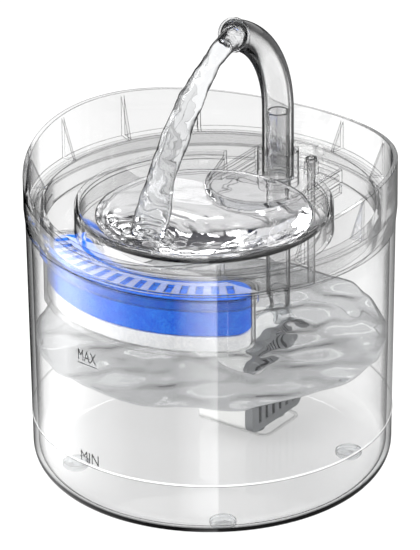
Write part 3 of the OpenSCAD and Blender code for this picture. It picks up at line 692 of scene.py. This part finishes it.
start_clean()
bpy.ops.mesh.primitive_cylinder_add(
    vertices=SIDES, radius=low_radius * MM, depth=(WATER_LEVEL - FLOOR_TOP - SKIN) * MM,
    location=(0, 0, (WATER_LEVEL + FLOOR_TOP + SKIN) / 2 * MM),
)
jar_water = name_piece("water_in_jar")
settle(jar_water)
bpy.ops.object.mode_set(mode="EDIT")
pick(jar_water, "edges", lambda e: all(v.co.z < (FLOOR_TOP + 1) * MM for v in e.verts))
bpy.ops.mesh.bevel(offset=CORNER * MM, offset_type="OFFSET", segments=12, affect="EDGES")
pick(jar_water, "verts", lambda v: v.co.z > (WATER_LEVEL - 1) * MM)
bpy.ops.transform.resize(value=(high_radius / low_radius, high_radius / low_radius, 1))
pick(
    jar_water, "faces",
    lambda f: f.normal.z > 0.9 and f.calc_center_median().z > (WATER_LEVEL - 1) * MM,
)
for _ in range(RINGS):
    bpy.ops.mesh.inset(thickness=high_radius / (RINGS + 1) * MM, use_boundary=True)
bpy.ops.object.mode_set(mode="OBJECT")
print("water level", WATER_LEVEL, "radius", round(high_radius, 1))

# %% [markdown]
# The ripples are a sum of a few long waves that cross each other, and rings
# that spread from where the water drips back through the filter.

# %% Ripples
WAVES = [
    # length in mm, direction in degrees, height in mm, phase
    (46, 20, 0.75, 0.3),
    (31, 75, 0.55, 1.9),
    (23, -40, 0.40, 4.2),
    (15, 130, 0.22, 2.6),
    (11, 5, 0.13, 5.1),
]
DRIPS_LAND = (30, 30)
FACING_UP = 0.5
DEEPEST_TROUGH = 3
LEVEL_SLACK = 0.01


def crossing_waves(x, y):
    """Height in mm of the crossing waves at a place in mm."""
    height = 0
    for length, direction, size, phase in WAVES:
        turn = math.radians(direction)
        along = x * math.cos(turn) + y * math.sin(turn)
        bent = 0.35 * math.sin(y / 19 + phase) + 0.3 * math.cos(x / 27 - phase)
        height += size * math.sin(along / length * 2 * math.pi + phase + bent)
    return height


def drop_rings(x, y, at, length, size, reach):
    """Height in mm of the rings round a place where water falls in."""
    away_mm = math.hypot(x - at[0], y - at[1])
    return size * math.exp(-away_mm / reach) * math.cos(away_mm / length * 2 * math.pi)


def ripple(obj, level, shape):
    """Moves the open surface of a body of water up and down by shape(x, y)."""
    moved = 0
    for vertex in obj.data.vertices:
        if abs(vertex.co.z - level * MM) < LEVEL_SLACK * MM:
            vertex.co.z += shape(vertex.co.x / MM, vertex.co.y / MM) * MM
            moved += 1
    print(obj.name, "rippled at", moved, "points")


def open_surface(obj, level):
    """Marks the faces of the open surface with the first material and the rest with the second."""
    for face in obj.data.polygons:
        is_open = face.center.z > (level - DEEPEST_TROUGH) * MM and face.normal.z > FACING_UP
        face.material_index = 0 if is_open else 1
        face.use_smooth = True


def jar_ripples(x, y):
    """Height in mm of the jar's open surface: crossing waves and the rings of the drips."""
    return crossing_waves(x, y) + drop_rings(x, y, DRIPS_LAND, 17, 1.1, 45)


ripple(jar_water, WATER_LEVEL, jar_ripples)
finish_piece(jar_water, "jar", deep_water, wet_side)
open_surface(jar_water, WATER_LEVEL)

# %% [markdown]
# ### Water in the bowl
# The bowl's dish is part of a sphere.  A sphere a hair smaller, cut off at the
# water's level, gives a lens of water that fits the dish exactly.  Its flat top
# is inset in rings as before, the raised bridge is cut out of it, and the rings
# round the falling stream are tight and steep.

# %% Water in the bowl
water_radius = math.sqrt((dish_radius - SKIN) ** 2 - (dish_centre - BOWL_LEVEL) ** 2)
STREAM_LANDS = (-8.5, -42.0)
BOWL_RINGS = 44

start_clean()
bpy.ops.mesh.primitive_uv_sphere_add(
    segments=SIDES, ring_count=180, radius=(dish_radius - SKIN) * MM,
    location=(0, -BOWL_FRONT * MM, dish_centre * MM),
)
bowl_fill = name_piece("water_in_bowl")
settle(bowl_fill)
bpy.ops.object.mode_set(mode="EDIT")
bpy.ops.mesh.select_all(action="SELECT")
bpy.ops.mesh.bisect(
    plane_co=(0, 0, BOWL_LEVEL * MM), plane_no=(0, 0, 1), use_fill=True, clear_outer=True,
)
pick(bowl_fill, "faces", lambda f: f.normal.z > 0.9)
for _ in range(BOWL_RINGS):
    bpy.ops.mesh.inset(thickness=water_radius / (BOWL_RINGS + 1) * MM, use_boundary=True)
bpy.ops.object.mode_set(mode="OBJECT")

BRIDGE_RADIUS = 26.1
BRIDGE_Y = 41.0
KERB_TOP = 136.7
start_clean()
bpy.ops.mesh.primitive_cylinder_add(
    vertices=96, radius=BRIDGE_RADIUS * MM, depth=30 * MM,
    location=(0, BRIDGE_Y * MM, (KERB_TOP - 15) * MM),
)
bridge_block = name_piece("bridge_block")
settle(bridge_block)
cut = bowl_fill.modifiers.new("bridge", "BOOLEAN")
cut.operation = "DIFFERENCE"
cut.object = bridge_block
apply_modifiers(bowl_fill)
bpy.data.objects.remove(bridge_block)


def bowl_ripples(x, y):
    """Height in mm of the bowl's open surface: the stream's rings, a swell and a swirl in front."""
    rings = drop_rings(x, y, STREAM_LANDS, 8.5, 1.0, 16)
    swell = 0.16 * crossing_waves(x * 1.3, y * 1.3)
    from_edge = water_radius - math.hypot(x, y + BOWL_FRONT)
    front = max(0.0, min(1.0, -(y + 10) / 25))
    fading = math.exp(-from_edge / 12)
    swirl = 0.9 * math.sin(from_edge / 9 * 2 * math.pi + math.sin(x / 8)) * fading
    return rings + swell + front * swirl * min(1.0, from_edge / 3)


ripple(bowl_fill, BOWL_LEVEL, bowl_ripples)
finish_piece(bowl_fill, "tray", bowl_water)
for face in bowl_fill.data.polygons:
    face.use_smooth = face.normal.z > FACING_UP or face.center.z < (KERB_TOP - 0.5) * MM
print("bowl water radius", round(water_radius, 1))

# %% [markdown]
# ### The stream
# Water leaves the spout as a smooth rope that breaks into lumps and swells as it
# falls.  A cylinder is divided along its length, so that it has points to shape,
# and it is laid along a path that is drawn as a curve through five points.

# %% Stream
STREAM_PATH = [
    # from inside the spout's mouth down to the bowl
    (0.0, 24.0, 220.5), (0.0, 13.0, 219.5), (-3.0, -8.0, 201.0), (-6.0, -25.5, 174.0),
    (-8.5, -42.5, 136.0),
]
STREAM_RADIUS = 5.8
STREAM_CUTS = 110

start_clean()
bpy.ops.curve.primitive_bezier_curve_add(location=(0, 0, 0))
path = name_piece("stream_path")
spline = path.data.splines[0]
spline.bezier_points.add(len(STREAM_PATH) - len(spline.bezier_points))
for point, place in zip(spline.bezier_points, STREAM_PATH):
    point.co = Vector(place) * MM
    point.handle_left_type = point.handle_right_type = "AUTO"
path.data.resolution_u = 32
path_length = sum(
    (Vector(a) - Vector(b)).length for a, b in zip(STREAM_PATH, STREAM_PATH[1:])
)

start_clean()
bpy.ops.mesh.primitive_cylinder_add(
    vertices=48, radius=STREAM_RADIUS * MM, depth=path_length * MM, end_fill_type="TRIFAN",
    location=(0, 0, path_length / 2 * MM),
)
stream = name_piece("water_stream")
settle(stream)
bpy.ops.object.mode_set(mode="EDIT")
pick(stream, "edges", lambda e: abs(e.verts[0].co.z - e.verts[1].co.z) > path_length / 2 * MM)
bpy.ops.mesh.subdivide(number_cuts=STREAM_CUTS)
bpy.ops.object.mode_set(mode="OBJECT")
print("stream length", round(path_length), "mm")

# %% [markdown]
# A falling rope of water is never quite round.  It swells more and more as it
# falls, turns about itself and is flatter one way than the other.  Noise then
# adds the small lumps, and the Curve modifier lays it along its path.

# %% Shape the stream
SWELL = 0.16
WIDER_FOOT = 0.2
FLATTENING = 0.28
BROADER = 1.08
TWIST = 2.6
LUMP_LENGTH = 9
LUMP_HEIGHT = 2.2

for vertex in stream.data.vertices:
    along = vertex.co.z / MM / path_length
    swell = 1.1 + SWELL * math.sin(along * 15 + 0.5) * along + WIDER_FOOT * along ** 3
    flat = 1 - FLATTENING * (0.3 + 0.7 * math.sin(along * 9.0) ** 2)
    twist = TWIST * along + 0.5
    turned, sideways = math.cos(twist), math.sin(twist)
    x, y = vertex.co.x, vertex.co.y
    broad = (x * turned + y * sideways) * swell * BROADER
    narrow = (y * turned - x * sideways) * swell * flat
    vertex.co.x = broad * turned - narrow * sideways
    vertex.co.y = broad * sideways + narrow * turned

lumps = bpy.data.textures.new("stream_lumps", "CLOUDS")
lumps.noise_scale = LUMP_LENGTH * MM
modifier = stream.modifiers.new("lumps", "DISPLACE")
modifier.texture = lumps
modifier.texture_coords = "LOCAL"
modifier.strength = LUMP_HEIGHT * MM
modifier.mid_level = 0.5
modifier = stream.modifiers.new("path", "CURVE")
modifier.object = path
modifier.deform_axis = "POS_Z"
apply_modifiers(stream)
bpy.data.objects.remove(path)
for face in stream.data.polygons:
    face.use_smooth = True
finish_piece(stream, "spout", falling_water)

# %% [markdown]
# ## The filter
# The cartridge holds a block of blue reticulated foam over a white wadding pad
# with carbon inside.  Foam has no smooth face: its pores open on every side.
# The CAD solid gives its size.  A copy is remeshed finely and pushed by noise,
# mostly inwards, so that it stays inside its case.

# %% Fine copies of soft parts
MOSTLY_INWARDS = 0.75


def soft_copy(node, name, voxel_mm, noise_mm, depth_mm):
    """A finely meshed copy of a soft CAD solid with an uneven surface."""
    start_clean()
    source = nodes[node]
    made = bpy.data.objects.new(name, source.data.copy())
    bpy.context.scene.collection.objects.link(made)
    made.select_set(True)
    bpy.context.view_layer.objects.active = made
    bpy.ops.object.mode_set(mode="EDIT")
    bpy.ops.mesh.select_all(action="SELECT")
    bpy.ops.mesh.remove_doubles(threshold=0.001 * MM)
    bpy.ops.object.mode_set(mode="OBJECT")
    grid = made.modifiers.new("fine mesh", "REMESH")
    grid.mode = "VOXEL"
    grid.voxel_size = voxel_mm * MM
    pores = bpy.data.textures.new(name + "_pores", "CLOUDS")
    pores.noise_scale = noise_mm * MM
    push = made.modifiers.new("pores", "DISPLACE")
    push.texture = pores
    push.texture_coords = "LOCAL"
    push.strength = depth_mm * MM
    push.mid_level = MOSTLY_INWARDS
    apply_modifiers(made)
    for face in made.data.polygons:
        face.use_smooth = True
    return made


# %% [markdown]
# Foam is full of cells a little under a millimetre wide, which a Voronoi pattern
# gives.  It darkens in the cells, a painted shade in their hollows, with a random
# cloudy change in tone on top, and is paler on the threads between them, and it
# hardly shines.  Wadding is the same thing in white, with longer fibres.

# %% Foam, wadding and sponge
CLOUDY_LENGTH = 6


def foam_material(name, dark, pale, pore_mm, depth):
    """A soft porous block: cells of one size, dark inside with painted shade and pale on their
    threads.
    """
    made, tree = new_material(name)
    place = add(tree, "TexCoord").outputs["Object"]
    pores = add(tree, "TexVoronoi", Vector=place, Scale=1 / (pore_mm * MM)).outputs["Distance"]
    cloudy = add(tree, "TexNoise", Vector=place, Scale=1 / (CLOUDY_LENGTH * MM), Detail=4.0)
    # painted shade: darker in the hollows of the cells, times a random cloudy tone
    tone = add(tree, "ValToRGB", add(tree, "Math MULTIPLY", pores, cloudy.outputs["Fac"]))
    tone.color_ramp.elements[0].color = linear(dark)
    tone.color_ramp.elements[1].color = linear(pale)
    tone.color_ramp.elements[1].position = 0.45
    bump = add(tree, "Bump", Height=pores, Strength=depth, Distance=0.5 * MM)
    body = add(
        tree, "BsdfPrincipled", Base_Color=tone, Roughness=0.85, Normal=bump,
        Specular_IOR_Level=0.2,
    )
    add(tree, "OutputMaterial", Surface=body)
    return made


blue_foam = foam_material("blue_pu_foam_reticulated", "#0654ee", "#2c8cff", 0.9, 0.5)
white_wadding = foam_material("polyester_wadding_bonded", "#e9ebee", "#ffffff", 1.4, 0.35)
black_sponge = foam_material("black_pu_sponge", "#101011", "#2c2c2e", 0.7, 0.6)

foam = soft_copy("filter_foam", "foam_block", 0.8, 2.2, 0.5)
finish_piece(foam, "filter", blue_foam)
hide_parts("filter_foam")

pad = soft_copy("filter_wadding", "wadding_pad", 0.9, 3.5, 0.5)
finish_piece(pad, "filter", white_wadding)
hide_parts("filter_wadding")

sponge = soft_copy("grille_sponge", "intake_sponge", 0.5, 1.4, 0.3)
finish_piece(sponge, "grille", black_sponge)
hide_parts("grille_sponge")
print("soft pieces:", foam.name, pad.name, sponge.name)

# %% [markdown]
# ## Level marks
# The jar says how far it may be filled: MAX and MIN, each with a line below it,
# printed in dark ink on the outside.  Text is typed flat, made a mesh and then
# wrapped round the wall, so that it stays sharp and follows the curve.

# %% Level marks
MARK_AZIMUTH = 263.2
MARK_WIDTH = 11.6
LETTER_HEIGHT = 5.6
LINE_DROP = 1.5
LINE_THICK = 0.35
LINE_LONGER = 0.6
LETTER_THINNER = -0.006
INK_THICK = 0.06
INK_GAP = 0.03
MARK_HEIGHTS = {"MAX": 88.6, "MIN": 33.9}
LIP_HEIGHT = 8
BASE_HEIGHT = 16


def wall_radius(height):
    """Outer radius of the jar at a height, in mm."""
    seam = tank_high[2] - LIP_HEIGHT
    return tank_radius - TANK_DRAFT * (seam - height) / (seam - BASE_HEIGHT)


for word, height in MARK_HEIGHTS.items():
    print(word, "is printed at", height, "mm, radius", round(wall_radius(height), 1), "mm")

# %% [markdown]
# The word is first stretched to its width and height while it is still flat, and
# a thin strip for the line is joined below it.

# %% Flat marks


def flat_word(word):
    """The word as a flat mesh in mm, at its width and height, with its foot at 0."""
    start_clean()
    bpy.ops.object.text_add(location=(0, 0, 0))
    text = bpy.context.object
    text.data.body = word
    text.data.size = 1
    text.data.resolution_u = 3
    text.data.offset = LETTER_THINNER
    bpy.ops.object.convert(target="MESH")
    mark = name_piece("mark_" + word.lower())
    bpy.ops.object.mode_set(mode="EDIT")
    bpy.ops.mesh.select_all(action="SELECT")
    bpy.ops.mesh.remove_doubles(threshold=0.001)
    bpy.ops.mesh.subdivide(number_cuts=2)
    bpy.ops.object.mode_set(mode="OBJECT")
    xs = [v.co.x for v in mark.data.vertices]
    ys = [v.co.y for v in mark.data.vertices]
    left, bottom = min(xs), min(ys)
    width, height = max(xs) - left, max(ys) - bottom
    for vertex in mark.data.vertices:
        vertex.co.x = ((vertex.co.x - left) / width - 0.5) * MARK_WIDTH
        vertex.co.y = (vertex.co.y - bottom) / height * LETTER_HEIGHT
    return mark


def underline(mark):
    """Joins a thin strip to the flat word, a little below it."""
    start_clean()
    bpy.ops.mesh.primitive_grid_add(x_subdivisions=24, y_subdivisions=1, size=1)
    line = bpy.context.object
    for vertex in line.data.vertices:
        vertex.co.x *= MARK_WIDTH + LINE_LONGER
        vertex.co.y = vertex.co.y * LINE_THICK - LINE_DROP
    line.select_set(True)
    mark.select_set(True)
    bpy.context.view_layer.objects.active = mark
    bpy.ops.object.join()


print("letters are", LETTER_HEIGHT, "mm high")

# %% [markdown]
# Then every point goes to its angle and height on the jar, and a Solidify
# modifier gives the ink a thickness.

# %% Print the marks


def wrap_on_jar(mark, height):
    """Lays the flat mark on the outside of the jar at a height, and gives the ink a thickness."""
    radius = wall_radius(height) + INK_GAP
    for vertex in mark.data.vertices:
        turn = math.radians(MARK_AZIMUTH) + vertex.co.x / radius
        z = vertex.co.y + height
        here = wall_radius(z) + INK_GAP
        vertex.co = Vector((here * math.cos(turn), here * math.sin(turn), z)) * MM
    ink_depth_and_painted_shade = mark.modifiers.new("ink", "SOLIDIFY")
    ink_depth_and_painted_shade.thickness = INK_THICK * MM
    ink_depth_and_painted_shade.offset = 1.0
    apply_modifiers(mark)


ink = grained("dark_grey_pad_print_ink", "#161617", 0.75, 0.3, 0.1)
for word, height in MARK_HEIGHTS.items():
    mark = flat_word(word)
    underline(mark)
    wrap_on_jar(mark, height)
    finish_piece(mark, "jar", ink)

# %% [markdown]
# ## The set
# Clear plastic is drawn by what it bends into view, so the set matters more
# than the lamps.  Paper below and behind is white.  Higher up the room is
# darker, and that darkness shows in the water, in the rim and wherever a curved
# wall bends the view upwards; on the water and the rims painted shade adds to it.
# Long light strips are painted on the table round the fountain as a glow that
# only mirrored rays see: a painted reflection that draws the soft upright bands
# on the round wall of the jar.

# %% Kinds of rays


def seen_directly(tree):
    """1 for rays from the camera, a mirror or a clear wall, 0 for light that falls on something."""
    ray = add(tree, "LightPath").outputs
    first = add(tree, "Math MAXIMUM", ray["Is Camera Ray"], ray["Is Glossy Ray"])
    return add(tree, "Math MAXIMUM", first, ray["Is Transmission Ray"])


def seen_in_first_mirror(tree):
    """1 for rays that the first surface on their way mirrors, and 0 for all others."""
    ray = add(tree, "LightPath").outputs
    mirrored = add(tree, "Math MULTIPLY", ray["Is Reflection Ray"], ray["Is Glossy Ray"])
    first = add(tree, "Math LESS_THAN", ray["Ray Depth"], 1.5)
    return add(tree, "Math MULTIPLY", mirrored, first)


def far_from_axis(tree, near, far, least):
    """A share that grows from least to 1 between two distances from the middle, in metres."""
    place = add(tree, "TexCoord").outputs["Object"]
    reach = add(tree, "VectorMath LENGTH", place).outputs["Value"]
    return add(tree, "MapRange", Value=reach, From_Min=near, From_Max=far, To_Min=least)


print("strips are seen by the first mirror only")

# %% [markdown]
# Whatever a round wall mirrors seems to come from one line halfway between its
# axis and its front, so the strips are given as directions from there.

# %% Strips on the table
STRIPS = [
    # direction in degrees from the camera's, to the right, and brightness as a share of the most
    (-165, 0.0), (-140, 0.0), (-126, 0.1), (-112, 0.45), (-98, 0.95), (-75, 0.42), (-50, 0.1),
    (-24, 0.04), (-8, 0.5), (2.8, 0.75), (3.2, 0.15), (20, 0.1), (60, 0.1), (100, 0.18),
    (140, 0.08), (165, 0.0),
]


def painted_strip_reflection(tree):
    """Painted reflection: the brightness of the table as a round wall mirrors it, by direction from
    its focal line.
    """
    turned = add(
        tree, "VectorRotate", settings={"rotation_type": "Z_AXIS"},
        Vector=add(tree, "TexCoord").outputs["Object"], Angle=-math.radians(CAMERA_AZIMUTH),
    )
    axes = add(tree, "SeparateXYZ", turned).outputs
    ahead = add(tree, "Math SUBTRACT", -tank_radius / 2 * MM, axes["Y"])
    angle = add(tree, "Math ARCTAN2", axes["X"], ahead)
    bands = add(
        tree, "ValToRGB", add(tree, "MapRange", angle, From_Min=-math.pi, From_Max=math.pi),
    )
    stops = bands.color_ramp.elements
    for degrees, level in STRIPS[1:-1]:
        stops.new(0.5 + degrees / 360)
    for stop, (degrees, level) in zip(stops, STRIPS):
        stop.position = 0.5 + degrees / 360
        stop.color = (level, level, level, 1)
    off_foot = far_from_axis(tree, tank_radius * 1.1 * MM, tank_radius * 1.4 * MM, 0.1)
    return add(tree, "VectorMath SCALE", bands, Scale=off_foot)


print("strip edges:", len(STRIPS))

# %% [markdown]
# ### Paper
# The paper keeps a weak shadow of the fountain, because most of what one sees of
# it glows by itself.  Further out all of it glows, so that it ends white.

# %% Paper
PAPER_SIZE = 12
PAPER_GLOW = 1.08
GLOW_SHARE = 0.68
STRIP_GLOW = 7.0
SHADOW_REACH = 0.25
SHADOW_END = 0.6

bpy.ops.mesh.primitive_plane_add(size=PAPER_SIZE, location=(0, 0, 0))
paper = bpy.context.object
paper.name = "paper_floor"

paper_white, tree = new_material("white_paper")
lit = add(tree, "BsdfDiffuse", linear("#eaeaea"))
glow = add(tree, "Emission", linear("#ffffff"), PAPER_GLOW)
# painted reflection: the strips glow on the paper for the first mirror only
strips = add(tree, "Emission", painted_strip_reflection(tree), STRIP_GLOW)
glowing = far_from_axis(tree, SHADOW_REACH, SHADOW_END, GLOW_SHARE)
seen_glow = add(tree, "Math MULTIPLY", seen_directly(tree), glowing)
plain = add(tree, "MixShader", seen_glow, lit, glow)
both = add(tree, "MixShader", seen_in_first_mirror(tree), plain, strips)
add(tree, "OutputMaterial", Surface=both)
paper.data.materials.append(paper_white)
print("paper", PAPER_SIZE, "m wide")

# %% [markdown]
# ### The room
# The camera sees plain white.  What clear and shiny things bend into view is the
# room: white low down and dark above.  What lights the matt things is an even
# grey, which fills the shadows.

# %% World
AMBIENT = 0.75
ROOM_WHITE_BELOW = 0.06
ROOM_DARK_ABOVE = 0.32

world = bpy.data.worlds.new("room")
world.use_nodes = True
tree = world.node_tree
tree.nodes.clear()
direction = add(tree, "TexCoord").outputs["Generated"]
height = add(tree, "SeparateXYZ", direction).outputs["Z"]
room = add(tree, "ValToRGB", height)
room.color_ramp.elements[0].position = ROOM_WHITE_BELOW
room.color_ramp.elements[0].color = linear("#ffffff")
room.color_ramp.elements[1].position = ROOM_DARK_ABOVE
room.color_ramp.elements[1].color = linear("#59595d")
fill = add(tree, "Background", linear("#ffffff"), AMBIENT)
bent_view = add(tree, "Background", room, 1.0)
white = add(tree, "Background", linear("#ffffff"), 1.0)
ray = add(tree, "LightPath").outputs
no_bounce = add(tree, "Math LESS_THAN", ray["Diffuse Depth"], 0.5)
is_view = add(tree, "Math MULTIPLY", seen_directly(tree), no_bounce)
unseen = add(tree, "MixShader", is_view, fill, bent_view)
all_rays = add(tree, "MixShader", ray["Is Camera Ray"], unseen, white)
add(tree, "OutputWorld", Surface=all_rays)
bpy.context.scene.world = world
print("world:", world.name, "fill", AMBIENT)

# %% [markdown]
# ### Lamps
# Three soft boxes light the white and the blue from left, right and above, and a
# narrow strip behind puts a thin line of light on the rims.

# %% Lamps


def softbox(name, azimuth_deg, elevation_deg, distance, width, height_m, power):
    """A rectangular lamp aimed at the middle of the fountain."""
    turn = math.radians(azimuth_deg)
    rise = math.radians(elevation_deg)
    back = Vector((
        math.sin(turn) * math.cos(rise), -math.cos(turn) * math.cos(rise), math.sin(rise),
    ))
    bpy.ops.object.light_add(type="AREA", location=aim + back * distance)
    lamp = bpy.context.object
    lamp.name = name
    lamp.data.shape = "RECTANGLE"
    lamp.data.size = width
    lamp.data.size_y = height_m
    lamp.data.energy = power
    lamp.rotation_mode = "QUATERNION"
    lamp.rotation_quaternion = back.to_track_quat("Z", "Y")
    return lamp


lamps = [
    # azimuth and elevation in degrees, distance, width and height in metres, power in watts
    softbox("softbox_left", CAMERA_AZIMUTH - 75, 42, 1.3, 0.5, 1.0, 18),
    softbox("softbox_right", CAMERA_AZIMUTH + 80, 35, 1.4, 0.35, 1.0, 7),
    softbox("softbox_top", CAMERA_AZIMUTH + 160, 72, 1.3, 0.9, 0.6, 8),
    softbox("striplight_back", CAMERA_AZIMUTH + 172, 39, 1.3, 0.7, 0.12, 1.6),
]
print("lamps:", [(lamp.name, round(lamp.data.energy, 1)) for lamp in lamps])

# %% [markdown]
# A line of sight passes up to some thirty clear faces on its way through jar,
# tray, water and back wall, so the light paths need room for as many.

# %% Room for many clear walls in a row
CLEAR_FACES = 40
MIRRORS = 12

cycles = bpy.context.scene.cycles
cycles.max_bounces = CLEAR_FACES
cycles.transmission_bounces = CLEAR_FACES
cycles.transparent_max_bounces = CLEAR_FACES
cycles.glossy_bounces = MIRRORS
cycles.volume_bounces = 0
bpy.context.scene.view_settings.view_transform = "Standard"
print("clear faces allowed in a row:", cycles.transparent_max_bounces)
